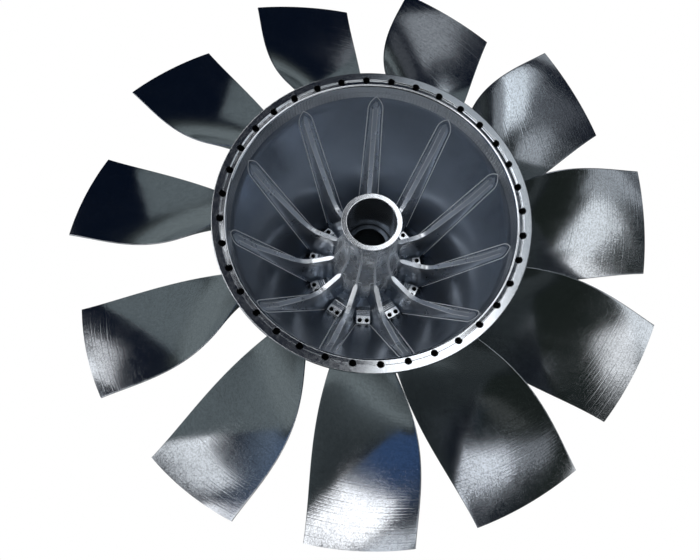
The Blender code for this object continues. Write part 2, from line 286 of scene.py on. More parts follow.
def hub_finish(
    name, rows_across, spacing, facet, row_height, shine, haze_size, dent,
    arc_radius=0.1, colour=ALUMINIUM, metallic=1.0,
):
    """A finish for a piece of the hub: rows across the radius, depth or arc, a range of shine, and dents."""
    material, tree, shader = bare_metal(name, sum(shine) / 2, colour, metallic)
    place = object_place(tree)
    polar = place_effect(tree, POLAR, vector=place, arc_radius=arc_radius)
    along = polar["Depth"] if rows_across == "Arc" else polar["Arc"]
    sizes = {"spacing": spacing, "facet": facet}
    rows = place_effect(tree, CUTTER_ROWS, across=polar[rows_across], along=along, **sizes)
    smudge = place_effect(tree, HANDLING_HAZE, vector=place, size=haze_size)
    clouds = calc(tree, "MULTIPLY", smudge["Haze"], HAZE_SHARE)
    blotch = calc(tree, "MULTIPLY_ADD", smudge["Specks"], SPECK_SHARE, clouds)
    tree.links.new(remap(tree, blotch, *HAZE_RANGE, *shine), shader.inputs["Roughness"])
    add_bump(tree, shader, smudge["Specks"], dent)
    add_bump(tree, shader, rows["Height"], row_height)
    return material


# %% [markdown]
# The flange's face was turned, so its marks are rings. The pocket's wall was milled level by level with
# a ball cutter, and the ribs and the tube along their length. The bore was turned fine and smooth.

# %% Finishes of the hub
# Darker copies of the metal's colour, as painted shade: for the deep pocket, the ribs and tube in it, its
# corner and the bore, where less light comes in.
POCKET_SHADE = (0.37, 0.415, 0.48, 1)
HALF_POCKET_SHADE = (0.62, 0.66, 0.72, 1)
DEEP_SHADE = (0.10, 0.115, 0.135, 1)
SHADED = (0.42, 0.45, 0.49, 1)
TURNED_FACE = hub_finish("turned_face", "Radius", 0.0006, 0.02, 3e-6, (0.11, 0.15), 0.012, 2e-6)
# The pocket's whole colour is painted shade, darker than the bare metal.
MILLED_POCKET = hub_finish(
    "milled_pocket", "Depth", 0.0016, 0.010, 8e-6, (0.19, 0.26), 0.05, 8e-6, colour=POCKET_SHADE, metallic=0.92
)
MILLED_TUBE = hub_finish(
    "milled_tube", "Arc", 0.0030, 0.080, 1e-5, (0.24, 0.30), 0.03, 1e-6, arc_radius=0.035, metallic=0.70
)
# The bore's colour is painted shade as well.
TURNED_BORE = hub_finish(
    "turned_bore", "Arc", 0.0045, 0.080, 6e-5, (0.12, 0.20), 0.02, 6e-6,
    arc_radius=0.022, colour=SHADED, metallic=0.85,
)
MILLED_RIB = hub_finish("milled_rib", "Radius", 0.0030, 0.012, 8e-6, (0.27, 0.34), 0.03, 4e-6, metallic=0.85)
SATIN_BEAD = hub_finish(
    "satin_bead", "Radius", 0.0030, 0.006, 8e-6, (0.30, 0.42), 0.014, 6e-6, metallic=0.1
)
MILLED_PAD = hub_finish("milled_pad", "Radius", 0.0014, 0.004, 1e-5, (0.16, 0.24), 0.008, 6e-6)


def shade_along(material, coordinate, low, high, second):
    """Paints shade into the metal's colour along a polar coordinate, where less and less light comes in."""
    tree = material.node_tree
    polar = place_effect(tree, POLAR, vector=object_place(tree))
    share = remap(tree, polar[coordinate], low, high, smooth=True)
    colour = tree.nodes["Principled BSDF"].inputs["Base Color"]
    first = colour.links[0].from_socket if colour.is_linked else tuple(colour.default_value)
    tree.links.new(mix_colours(tree, share, first, second), colour)


# Painted shade: the ribs darker towards the wall and lower down, the pocket's corner, the tube's foot and
# the bore's ledge.
shade_along(MILLED_RIB, "Radius", 0.055, 0.078, HALF_POCKET_SHADE)
shade_along(MILLED_RIB, "Depth", 0.113, 0.130, POCKET_SHADE)
shade_along(MILLED_POCKET, "Depth", 0.135, 0.152, DEEP_SHADE)
shade_along(MILLED_TUBE, "Depth", 0.125, 0.155, POCKET_SHADE)
shade_along(TURNED_BORE, "Depth", 0.070, 0.081, DEEP_SHADE)
print("finishes of the hub made")

# %% [markdown]
# A tapped hole is painted black, as painted shade for its dark inside. Faint rings show where its thread
# catches what little light gets in.

# %% Painted shade of the holes
# The holes' black colour is painted shade, not the metal's own colour.
HOLE_SHADE = (0.010, 0.011, 0.012, 1)
THREAD_PITCH = 0.001
THREAD_HEIGHT = 0.0001


def tapped_hole():
    material, tree, shader = bare_metal("tapped_hole", 0.5, colour=HOLE_SHADE, metallic=0.0)
    shader.inputs["Specular IOR Level"].default_value = 0.1
    depth = place_effect(tree, POLAR, vector=object_place(tree))["Depth"]
    thread = calc(tree, "SINE", calc(tree, "MULTIPLY", depth, 2 * math.pi / THREAD_PITCH))
    tree.links.new(remap(tree, thread, -1.0, 1.0, 0.4, 0.7), shader.inputs["Roughness"])
    add_bump(tree, shader, thread, THREAD_HEIGHT)
    return material


TAPPED_HOLE_SHADE = tapped_hole()

# %% [markdown]
# The short straight land under the mouth was milled with the side of a cutter, which left upright
# marks a few millimetres apart, and a row of small dots where the cutter dwelt.

# %% Finish of the land
LAND_ARC_RADIUS = 0.125
LAND_MARK_PITCH = 0.003
LAND_MARK_HEIGHT = 6e-5
LAND_DOT_DEPTH = 0.0105
LAND_DOT_SINK = 2e-4


def milled_land():
    material = hub_finish(
        "milled_land", "Arc", 0.0015, 0.02, 1e-5, (0.16, 0.24), 0.03, 4e-6,
        arc_radius=LAND_ARC_RADIUS, metallic=0.96,
    )
    tree = material.node_tree
    shader = tree.nodes["Principled BSDF"]
    polar = place_effect(tree, POLAR, vector=object_place(tree), arc_radius=LAND_ARC_RADIUS)
    marks = calc(tree, "SINE", calc(tree, "MULTIPLY", polar["Arc"], 2 * math.pi / LAND_MARK_PITCH))
    from_row = calc(tree, "ABSOLUTE", calc(tree, "SUBTRACT", polar["Depth"], LAND_DOT_DEPTH))
    row = remap(tree, from_row, 0.0002, 0.0009, 1.0, 0.0, smooth=True)
    dots = calc(tree, "MULTIPLY", row, remap(tree, marks, 0.2, 0.9))
    add_bump(tree, shader, marks, LAND_MARK_HEIGHT)
    add_bump(tree, shader, dots, -LAND_DOT_SINK)
    return material


MILLED_LAND = milled_land()
print("finishes of the holes and the land made")

# %% [markdown]
# A blade was milled in passes that run from edge to edge, parallel to the tip. Each pass leaves a row
# of small facets, and these sparkle wherever a light is mirrored near them.

# %% Finish of the blades
BLADE_LENGTH = 0.17
BLADE_CHORD = 0.11
BLADE_PASS = 0.0026
BLADE_SHINE = (0.11, 0.19)
PASS_WANDER = 0.0006
PASS_CHANGE = 230.0
PASS_WIDTH = 0.0005
PASS_SINK = 3e-5
FACET_HEIGHT = 2e-5
GRAIN_DARKEST = 0.75
GROOVE_DARKEST = 0.86


def milled_blade():
    material, tree, shader = bare_metal("milled_blade", 0.15)
    chart = tree.nodes.new("ShaderNodeUVMap")
    chart.uv_map = "along_blade"
    x, y, _ = parts_of(tree, chart.outputs[0])
    span, chord = calc(tree, "MULTIPLY", x, BLADE_LENGTH), calc(tree, "MULTIPLY", y, BLADE_CHORD)
    rows = place_effect(tree, CUTTER_ROWS, across=span, along=chord, spacing=0.0010, facet=0.0011)
    smudge = place_effect(tree, HANDLING_HAZE, vector=object_place(tree), size=0.03)
    tree.links.new(remap(tree, smudge["Haze"], 0.3, 0.7, *BLADE_SHINE), shader.inputs["Roughness"])
    wavy = calc(tree, "MULTIPLY_ADD", rows["Drift"], PASS_WANDER, span)
    passes = calc(tree, "PINGPONG", wavy, BLADE_PASS / 2)
    depth = remap(tree, noise(tree, vector_of(tree, span, 0.0, 0.0), PASS_CHANGE), 0.40, 0.70)
    groove = calc(tree, "MULTIPLY", remap(tree, passes, 0.0, PASS_WIDTH, 1.0, 0.0), depth)
    add_bump(tree, shader, groove, -PASS_SINK)
    add_bump(tree, shader, rows["Height"], FACET_HEIGHT)
    grain = remap(tree, rows["Grain"], 0.3, 1.0, 1.0, GRAIN_DARKEST)
    line = remap(tree, groove, 0.0, 0.8, 1.0, GROOVE_DARKEST)
    darker = calc(tree, "MULTIPLY", grain, line)
    tree.links.new(scale_vector(tree, ALUMINIUM[:3], darker), shader.inputs["Base Color"])
    return material


MILLED_BLADE = milled_blade()
print("finish of the blades made")

# %% [markdown]
# Two small node trees do the repeating. The first copies a piece round the axis, as an indexing table
# turns the blank from blade to blade. The second drills a ring of equal holes with a shaped drill.
# Both have named inputs, and their results are turned into plain meshes before they are used.


# %% Node tree that copies a piece round the axis
def new_tree(name, inputs):
    """An empty geometry tree with one geometry input and output, and more named inputs."""
    geometry = [("Geometry", "Geometry")]
    return new_group(name, "GeometryNodeTree", geometry + inputs, geometry)


def copies_tree():
    """Copies a piece in equal turns. Faces marked on the piece take a finish of their own."""
    inputs = [("Copies", "Int"), ("Finish", "Material"), ("Marked Finish", "Material")]
    tree, given, made = new_tree("copies_round_axis", inputs)
    share = calc(tree, "DIVIDE", add_node(tree, "GeometryNodeInputIndex").outputs[0], given["Copies"])
    turn = vector_of(tree, 0.0, 0.0, calc(tree, "MULTIPLY", share, 2 * math.pi))
    rotation = add_node(tree, "FunctionNodeEulerToRotation", euler=turn).outputs[0]
    points = add_node(tree, "GeometryNodePoints", count=given["Copies"]).outputs[0]
    spread = {"points": points, "instance": given["Geometry"], "rotation": rotation}
    copies = add_node(tree, "GeometryNodeInstanceOnPoints", **spread).outputs[0]
    solid = add_node(tree, "GeometryNodeRealizeInstances", geometry=copies).outputs[0]
    paint = add_node(tree, "GeometryNodeSetMaterial", geometry=solid, material=given["Finish"]).outputs[0]
    mark = add_node(tree, "GeometryNodeInputNamedAttribute", name="marked")
    mark.data_type = "BOOLEAN"
    marked = next(output for output in mark.outputs if output.enabled and output.name == "Attribute")
    second = {"geometry": paint, "selection": marked, "material": given["Marked Finish"]}
    tree.links.new(add_node(tree, "GeometryNodeSetMaterial", **second).outputs[0], made["Geometry"])
    return tree


COPIES = copies_tree()
print("tree", COPIES.name, "with", len(COPIES.nodes), "nodes")


# %% Node tree that drills a ring of holes
def drilled_tree():
    """Cuts holes at points on a circle. Faces near a point's axis and low enough take the given material,
    here the holes' painted shade.
    """
    sizes = [("Circle Radius", "Float"), ("First Angle", "Float"), ("Reach", "Float"), ("Below", "Float")]
    inputs = [("Drill", "Object"), ("Holes", "Int"), *sizes, ("Finish", "Material")]
    tree, given, made = new_tree("drilled_ring", inputs)
    radius = given["Circle Radius"]
    circle = add_node(tree, "GeometryNodeMeshCircle", vertices=given["Holes"], radius=radius).outputs[0]
    turn = vector_of(tree, 0.0, 0.0, given["First Angle"])
    ring = add_node(tree, "GeometryNodeTransform", geometry=circle, rotation=turn).outputs[0]
    shape = add_node(tree, "GeometryNodeObjectInfo", object=given["Drill"]).outputs["Geometry"]
    drills = add_node(tree, "GeometryNodeInstanceOnPoints", points=ring, instance=shape).outputs[0]
    solid = add_node(tree, "GeometryNodeRealizeInstances", geometry=drills).outputs[0]
    cut = tree.nodes.new("GeometryNodeMeshBoolean")
    cut.operation = "DIFFERENCE"
    cut.solver = "EXACT"
    tree.links.new(given["Geometry"], cut.inputs["Mesh 1"])
    tree.links.new(solid, cut.inputs["Mesh 2"])
    x, y, z = parts_of(tree, tree.nodes.new("GeometryNodeInputPosition").outputs[0])
    nearest = add_node(tree, "GeometryNodeProximity", sample_position=vector_of(tree, x, y, 0.0))
    nearest.target_element = "POINTS"
    tree.links.new(ring, nearest.inputs[0])
    near = calc(tree, "LESS_THAN", nearest.outputs["Distance"], given["Reach"])
    inside = calc(tree, "MULTIPLY", near, calc(tree, "LESS_THAN", z, given["Below"]))
    whole = add_node(tree, "GeometryNodeRealizeInstances", geometry=cut.outputs[0]).outputs[0]
    paint = {"geometry": whole, "selection": inside, "material": given["Finish"]}
    tree.links.new(add_node(tree, "GeometryNodeSetMaterial", **paint).outputs[0], made["Geometry"])
    return tree


DRILLED = drilled_tree()
print("tree", DRILLED.name, "with", len(DRILLED.nodes), "nodes")

# %% Turn a tree's result into a plain mesh
SHARP_EDGE = 24


def shade(mesh, sharp):
    """Shades a mesh smooth between the edges that bend more than an angle."""
    mesh.shade_smooth()
    mesh.set_sharp_from_angle(angle=math.radians(sharp))


def run_tree(piece, tree, sharp=SHARP_EDGE, **values):
    """Runs a tree on a piece with its named inputs, and leaves a plain mesh on the piece."""
    modifier = piece.modifiers.new(tree.name, "NODES")
    modifier.node_group = tree
    named = {label.replace("_", " ").title(): value for label, value in values.items()}
    for item in tree.interface.items_tree:
        if item.in_out == "INPUT" and item.name in named:
            modifier[item.identifier] = named[item.name]
    bpy.context.view_layer.update()
    graph = bpy.context.evaluated_depsgraph_get()
    shown = piece.evaluated_get(graph)
    made = bpy.data.meshes.new_from_object(shown, preserve_all_data_layers=True, depsgraph=graph)
    piece.modifiers.remove(modifier)
    old = piece.data
    piece.data = made
    bpy.data.meshes.remove(old)
    made.name = piece.name
    shade(made, sharp)
    print(piece.name, len(made.vertices), "points after", tree.name)


# %% [markdown]
# Most of the pieces are machined surfaces with a rule: turned on a lathe, or milled along lines. Each
# is made as a grid of points worked out from that rule, and a grid becomes a mesh of four-sided faces.
# Depths are measured down from the flange's face, as a machinist would from the clamped blank's top.


# %% Grids of points
def at(radius, angle, depth):
    """Points from radius, angle in degrees and depth, which may be numbers or arrays."""
    turn = np.radians(angle)
    x, y, z = np.broadcast_arrays(radius * np.cos(turn), radius * np.sin(turn), FACE_HEIGHT - depth)
    return np.stack((x, y, z), axis=-1)


def grid_faces(rows, columns, around_rows=False, around_columns=False, capped=False):
    """The faces of a grid of points, which may close on itself, or have its first and last rows capped."""
    here = np.arange(rows * columns).reshape(rows, columns)
    down = np.roll(here, -1, axis=0)
    quads = np.stack((here, down, np.roll(down, -1, axis=1), np.roll(here, -1, axis=1)), axis=-1)
    quads = quads if around_rows else quads[:-1]
    quads = quads if around_columns else quads[:, :-1]
    faces = quads.reshape(-1, 4).tolist()
    return faces + [here[0].tolist(), here[-1, ::-1].tolist()] if capped else faces


def capped_sweep(points):
    """The points and faces of a closed ring that is swept along a path, with both ends capped."""
    return points, grid_faces(*points.shape[:2], False, True, capped=True)


def facing_out(points, faces):
    """A closed shell as a mesh block whose faces all point outwards."""
    mesh = bpy.data.meshes.new("shell")
    mesh.from_pydata(np.asarray(points).reshape(-1, 3).tolist(), [], faces)
    work = bmesh.new()
    work.from_mesh(mesh)
    bmesh.ops.recalc_face_normals(work, faces=work.faces)
    if work.calc_volume(signed=True) < 0:
        bmesh.ops.reverse_faces(work, faces=work.faces)
    work.to_mesh(mesh)
    work.free()
    return mesh


def add_piece(name, finish, *shells, sharp=SHARP_EDGE):
    """One object from closed shells (points, faces), shaded smooth between its sharp edges."""
    whole = bmesh.new()
    for points, faces in shells:
        shell = facing_out(points, faces)
        whole.from_mesh(shell)
        bpy.data.meshes.remove(shell)
    mesh = bpy.data.meshes.new(name)
    whole.to_mesh(mesh)
    whole.free()
    shade(mesh, sharp)
    mesh.materials.append(finish)
    return put_in_scene(name, mesh)


# %% [markdown]
# A turned piece is an outline spun round the axis. On metal the edges matter most, because each small
# round catches a line of light, so every corner of an outline carries its own rounding. Two extra
# points beside each round keep the flat faces truly flat in their shading.

# %% Turned pieces
EDGE_STEPS = 4
EDGE_SUPPORT = 0.0002
EDGE_STEP_SIZE = 0.0004
TURNED_STEPS = 36 * 8


def rounded(corners):
    """A closed outline from (radius, depth, rounding) corners, as an array of (radius, depth)."""
    points = []
    for i, (radius, depth, rounding) in enumerate(corners):
        here = np.array((radius, depth))
        if rounding == 0:
            points.append(here)
            continue
        back = np.array(corners[i - 1][:2]) - here
        on = np.array(corners[(i + 1) % len(corners)][:2]) - here
        back, on = back / np.linalg.norm(back), on / np.linalg.norm(on)
        half = math.acos(float(np.clip(back @ on, -1, 1))) / 2
        reach = rounding / math.tan(half)
        centre = here + (back + on) / np.linalg.norm(back + on) * rounding / math.sin(half)
        start, end = here + back * reach - centre, here + on * reach - centre
        points.append(here + back * (reach + EDGE_SUPPORT))
        for share in np.linspace(0, 1, EDGE_STEPS + int(rounding / EDGE_STEP_SIZE) + 1):
            spoke = start * (1 - share) + end * share
            points.append(centre + spoke / np.linalg.norm(spoke) * rounding)
        points.append(here + on * (reach + EDGE_SUPPORT))
    return np.array(points)


def spun(outline, steps, closed=True):
    """The points and faces of an outline of (radius, depth) points, spun round the axis."""
    angles = np.arange(steps)[:, None] * 360 / steps
    points = at(outline[None, :, 0], angles, outline[None, :, 1])
    return points, grid_faces(steps, len(outline), True, closed)


# %% [markdown]
# The profile of the deep pocket comes first, because the ribs, pads and tube all stand on it. Under the
# mouth there is a short straight land. A wide round leads from it into a straight cone, and a hollow
# corner joins the cone to the floor. The hub's outside runs parallel to the cone.

# %% The pocket's profile
FLANGE_RADIUS = 0.1383
FLANGE_SIDE = 0.005
MOUTH_RADIUS = 0.1262
LAND_RADIUS = 0.1236
LAND_DEPTH = 0.0236
LAND_ROUND = 0.006
WALL_SLOPE = 0.4826
FLOOR_DEPTH = 0.160
FLOOR_RADIUS = 0.0545
CORNER_TOP_RADIUS = 0.0635
CORNER_TOP_DEPTH = LAND_DEPTH + (LAND_RADIUS - CORNER_TOP_RADIUS) / WALL_SLOPE
ROUND_STEPS = 9
WALL_STEPS = 34
CORNER_STEPS = 10


def land_radius(depth):
    return MOUTH_RADIUS + (LAND_RADIUS - MOUTH_RADIUS) * depth / LAND_DEPTH


def pocket_profile():
    """Points (radius, depth) down the inside: from the end of the land, down the cone, to the floor."""
    top = np.array((land_radius(LAND_DEPTH - LAND_ROUND), LAND_DEPTH - LAND_ROUND))
    middle = np.array((LAND_RADIUS, LAND_DEPTH))
    low = np.array((LAND_RADIUS - LAND_ROUND * WALL_SLOPE, LAND_DEPTH + LAND_ROUND))
    share = np.linspace(0, 1, ROUND_STEPS)[:, None]
    bend = top * (1 - share) ** 2 + middle * 2 * share * (1 - share) + low * share**2
    radius = np.linspace(low[0], CORNER_TOP_RADIUS, WALL_STEPS)[1:]
    cone = np.stack((radius, LAND_DEPTH + (LAND_RADIUS - radius) / WALL_SLOPE), axis=-1)
    share = np.linspace(1, 0, CORNER_STEPS)[1:]
    radius = FLOOR_RADIUS + (CORNER_TOP_RADIUS - FLOOR_RADIUS) * share
    corner = np.stack((radius, FLOOR_DEPTH + (CORNER_TOP_DEPTH - FLOOR_DEPTH) * share**2), axis=-1)
    return np.concatenate((bend, cone, corner))


POCKET = pocket_profile()


def pocket_depth(radius):
    """The depth of the pocket's inside surface at a radius."""
    return np.interp(radius, POCKET[::-1, 0], POCKET[::-1, 1])


def hub_radius(depth):
    """The hub's outside, a straight cone from the flange's edge."""
    return FLANGE_RADIUS - WALL_SLOPE * (depth - FLANGE_SIDE)


print("profile of", len(POCKET), "points, from", POCKET[0].round(4), "to", POCKET[-1].round(4))

# %% [markdown]
# The flange is the turned rear face of the hub. A sharp step runs through the middle of the holes, and
# inside it the face rises a little towards a rounded mouth, which makes the dark band between holes.
# The holes are tapped and countersunk, so the drill that cuts them is itself a turned shape.

# %% Flange
RIM_RADIUS = 0.1388
STEP_RADIUS = 0.1318
STEP_DEPTH = 0.0016
LIP_DEPTH = 0.0013
LIP_ROUND = 0.0022
BOLT_CIRCLE_RADIUS = 0.131
BOLT_HOLES = 36
BOLT_HOLE_RADIUS = 0.0030
BOLT_HOLE_DEPTH = 0.011
COUNTERSINK = 0.0004
DRILL_SHANK = 0.004
DRILL_REACH = 1.01


def flange_outline():
    return rounded([
        (RIM_RADIUS, 0, 0.0005),
        (STEP_RADIUS, 0, 0.0002),
        (STEP_RADIUS - 0.0001, STEP_DEPTH, 0.0005),
        (land_radius(LIP_DEPTH), LIP_DEPTH, LIP_ROUND),
        (POCKET[0][0], POCKET[0][1], 0),
        (FLANGE_RADIUS, FLANGE_SIDE, 0),
        (RIM_RADIUS, FLANGE_SIDE - 0.0005, 0),
    ])


def drill(name, radius, depth, top_depth, countersink, sides=28):
    """A drill's shape as a hidden helper: point, straight side, countersink, and a plain shank."""
    wide = radius + 2 * countersink
    outline = np.array([
        (radius * 0.02, depth + radius * 0.6),
        (radius, depth),
        (radius, top_depth + countersink),
        (wide, top_depth - countersink),
        (wide, top_depth - DRILL_SHANK),
    ])
    points, faces = spun(outline, sides, closed=False)
    for column in (0, len(outline) - 1):
        faces.append([i * len(outline) + column for i in range(sides)])
    shape = add_piece(name, TAPPED_HOLE_SHADE, (points, faces))
    shape.hide_render = True
    return shape


flange = add_piece("flange", TURNED_FACE, spun(flange_outline(), TURNED_STEPS))
flange.data.materials.append(MILLED_LAND)
for face in flange.data.polygons:
    across = math.hypot(face.center.x, face.center.y)
    deep = FACE_HEIGHT - face.center.z > LIP_DEPTH + LIP_ROUND
    face.material_index = int(deep and across < MOUTH_RADIUS)
bolt_drill = drill("bolt_drill", BOLT_HOLE_RADIUS, BOLT_HOLE_DEPTH, 0, COUNTERSINK)
run_tree(
    flange, DRILLED, drill=bolt_drill, holes=BOLT_HOLES, circle_radius=BOLT_CIRCLE_RADIUS, first_angle=0.0,
    reach=BOLT_HOLE_RADIUS * DRILL_REACH, below=FACE_HEIGHT - 0.002, finish=TAPPED_HOLE_SHADE,
)

# %% [markdown]
# The hub is one turned shell: the wall and floor of the pocket inside, the cone and the flat nose
# outside, and the hole that the shaft passes through. Its top edges meet the flange's, so no seam shows.

# %% Hub
LOWER_BORE_RADIUS = 0.0170
NOSE_EDGE = 0.0015


def hub_outline():
    nose = rounded([
        (LOWER_BORE_RADIUS, FLOOR_DEPTH, 0),
        (LOWER_BORE_RADIUS, FACE_HEIGHT, 0.0008),
        (hub_radius(FACE_HEIGHT), FACE_HEIGHT, NOSE_EDGE),
        (FLANGE_RADIUS, FLANGE_SIDE, 0),
    ])
    cone = np.linspace(nose[-2], nose[-1], WALL_STEPS)[1:]
    return np.concatenate((POCKET, nose[:-1], cone))


hub = add_piece("hub", MILLED_POCKET, spun(hub_outline(), BLADES * 24))
print("hub", len(hub.data.polygons), "faces")

# %% [markdown]
# The tube for the shaft is milled with eleven hollow flutes. Two flutes meet in a thin ridge above each
# rib, and the ridge shows as a bright line. The flutes fade out at the tube's turned end and sweep out
# into the floor at its foot. Points are packed close at the ridges, where the surface turns fastest.

# %% Shaft tube
TUBE_END_DEPTH = 0.0175
TUBE_RADIUS = 0.0273
TUBE_FOOT_RADIUS = 0.0368
WAIST_RADIUS = 0.0243
TUBE_COLLAR = 9.0
FLARE_AMOUNT = 2.3
FLARE_POWER = 7
TUBE_FOOT_SWEEP = 0.007
CORNER_DEPTH = 0.109
CORNER_RADIUS = 0.0335
FLUTE_DEPTH = 0.0032
RIDGE_ROUNDING = 0.05
RIDGE_PACKING = 0.13
BORE_RADIUS = 0.0222
BORE_STEP_DEPTH = 0.078
BORE_STEP = 0.003
BORE_GROOVE = 0.0006
RIB_ANGLE = 85.4
FLUTE_STEPS = 24
TUBE_LEVELS = 56
LEVEL_PACKING = 0.8
TUBE_TOP_MARGIN = 0.0006


def ridge_radius(depth):
    """The ridges: a collar at the tube's end, a slim waist under it, and a flare down to the foot."""
    share = np.maximum(depth - TUBE_END_DEPTH, 0) / (CORNER_DEPTH - TUBE_END_DEPTH)
    collar = (TUBE_RADIUS - WAIST_RADIUS) * np.exp(-share * TUBE_COLLAR)
    flare = FLARE_AMOUNT * share**FLARE_POWER
    return WAIST_RADIUS + collar + (TUBE_FOOT_RADIUS - WAIST_RADIUS) * flare / (1 + flare)


def tube_radius(angle, depth):
    """The tube's fluted outside. The square root rounds the ridge where two flutes meet."""
    fade = np.clip((depth - TUBE_END_DEPTH) / (CORNER_DEPTH - TUBE_END_DEPTH), 0, 1)
    wave = np.sin(np.radians((angle - RIB_ANGLE) * BLADES / 2))
    hollow = np.sqrt(wave**2 + RIDGE_ROUNDING**2) - RIDGE_ROUNDING
    above = np.clip(TUBE_FOOT_SWEEP - (FLOOR_DEPTH - depth), 0, TUBE_FOOT_SWEEP)
    sweep = TUBE_FOOT_SWEEP - np.sqrt(TUBE_FOOT_SWEEP**2 - above**2)
    return ridge_radius(depth) - FLUTE_DEPTH * fade * hollow + sweep


def shaft_tube():
    share = np.arange(FLUTE_STEPS) / FLUTE_STEPS
    packed = share - RIDGE_PACKING * np.sin(2 * math.pi * share)
    angles = RIB_ANGLE + PITCH * (np.arange(BLADES)[:, None] + packed[None, :]).ravel()[:, None]
    climb = np.linspace(0, 1, TUBE_LEVELS) ** LEVEL_PACKING
    levels = FLOOR_DEPTH - (FLOOR_DEPTH - TUBE_END_DEPTH - TUBE_TOP_MARGIN) * climb
    inside = rounded([
        (TUBE_RADIUS - 0.001, FLOOR_DEPTH, 0),
        (TUBE_RADIUS, TUBE_END_DEPTH, 0.0004),
        (BORE_RADIUS, TUBE_END_DEPTH, 0.0006),
        (BORE_RADIUS, BORE_STEP_DEPTH, 0),
        (BORE_RADIUS + BORE_GROOVE, BORE_STEP_DEPTH + 0.0004, 0),
        (BORE_RADIUS + BORE_GROOVE, BORE_STEP_DEPTH + BORE_STEP, 0),
        (LOWER_BORE_RADIUS, BORE_STEP_DEPTH + BORE_STEP, 0.0008),
        (LOWER_BORE_RADIUS, FLOOR_DEPTH, 0),
    ])[2:]
    outer = at(tube_radius(angles, levels[None, :]), angles, levels[None, :])
    inner = at(inside[None, :, 0], angles, inside[None, :, 1])
    points = np.concatenate((outer, inner), axis=1)
    return add_piece("shaft_tube", MILLED_TUBE, (points, grid_faces(*points.shape[:2], True, True)))


tube = shaft_tube()
tube.data.materials.append(TURNED_BORE)
tube.data.materials.append(TURNED_FACE)
for face in tube.data.polygons:
    across = math.hypot(face.center.x, face.center.y)
    at_end = FACE_HEIGHT - face.center.z < TUBE_END_DEPTH + 0.0007
    face.material_index = 2 if at_end else int(across < BORE_RADIUS + 0.001)
print("tube", len(tube.data.polygons), "faces")

# %% [markdown]
# A rib is a thin plate with a flat crown and hollow sides, left standing between two milled sectors.
# It falls gently from the tube, then climbs the wall to its nose at the land. Heights on the steep wall
# are taken square to it, so each is stretched to give the depth straight down.

# %% The rib's rule
RIB_CROWN = 0.0024
RIB_NOSE_RADIUS = 0.1230
RIB_NOSE_LENGTH = 0.004
RIB_LEAST_HEIGHT = 0.0013
RIB_FALL_START = 0.0345
RIB_FALL_SLOPE = 0.36
RIB_CLIMB_SLOPE = 1.448
RIB_CLIMB_END = 0.1295
RIB_BEND = 0.0065
RIB_EDGE = 0.0004
RIB_HOLLOW = 2.6
RIB_TUBE_FILLET = 0.003
RIB_FILLET_START = 0.0005
RIB_FILLET_GROWTH = 0.006
RIB_ROOT_LENGTH = 0.005
RIB_ROOT_WIDTH = 0.25
RIB_NOSE_CURVE = 0.7
RIB_WALL_BEND = 0.0006
FLANK_PACKING = 1.5
RIB_STATIONS = 72
FLANK_STEPS = 16
BURIED = 0.0002
PAD_WIDTH = 0.0145
BEAD_NOSE_DEPTH = 0.0168
BEAD_NOSE_LENGTH = 0.015
BEAD_NOSE_WIDTH = 0.0066
BEAD_PAD_WIDTH = 0.0104
BEAD_HEIGHT = 0.0004
BEAD_WIDTH = 0.0006


def pocket_path():
    """The pocket's profile from the bead's tip on the land to the pad, with the distance along it."""
    tip = (land_radius(BEAD_NOSE_DEPTH), BEAD_NOSE_DEPTH)
    path = np.concatenate(([tip], POCKET[POCKET[:, 0] > CORNER_TOP_RADIUS - 0.0001]))
    steps = np.linalg.norm(np.diff(path, axis=0), axis=1)
    return path, np.concatenate(([0], np.cumsum(steps)))


PATH, PATH_LENGTHS = pocket_path()


def bead_offset(travel):
    """Half the distance between a rib's two beads, from its pointed nose to the corner of the pad."""
    share = np.clip(travel / BEAD_NOSE_LENGTH, 0, 1)
    spread = BEAD_NOSE_WIDTH + (BEAD_PAD_WIDTH - BEAD_NOSE_WIDTH) * travel / PATH_LENGTHS[-1]
    return spread * (1 - (1 - share) ** 2)


def rib_foot(radius):
    """Half the width of a rib's foot, which stays just inside the bead and then beside the pad."""
    travel = float(np.interp(radius, PATH[::-1, 0], PATH_LENGTHS[::-1]))
    beside_pad = max(radius * math.pi / BLADES - PAD_WIDTH / 2 + 0.0003, 0.004)
    return min(float(bead_offset(travel)) - BEAD_WIDTH / 2, beside_pad)


def pocket_steepness(radius):
    """How much longer a height gets when it is measured straight down instead of square to the pocket."""
    small = 0.0004
    slope = (pocket_depth(radius + small) - pocket_depth(radius - small)) / (2 * small)
    return float(min(np.hypot(1, slope), 4))


def rib_top(radius):
    """The depth of a rib's crown: a gentle fall, an arc, a straight climb, and then close to the wall."""
    fall = CORNER_DEPTH + RIB_FALL_SLOPE * (radius - RIB_FALL_START)
    climb = LAND_DEPTH + RIB_CLIMB_SLOPE * (RIB_CLIMB_END - radius)
    line = (fall + climb) / 2 - np.hypot((fall - climb) / 2, RIB_BEND)
    near_wall = pocket_depth(radius) - RIB_LEAST_HEIGHT * pocket_steepness(radius)
    return float((line + near_wall) / 2 - np.hypot((line - near_wall) / 2, RIB_WALL_BEND))


print("bead path", round(PATH_LENGTHS[-1], 4), "m long")


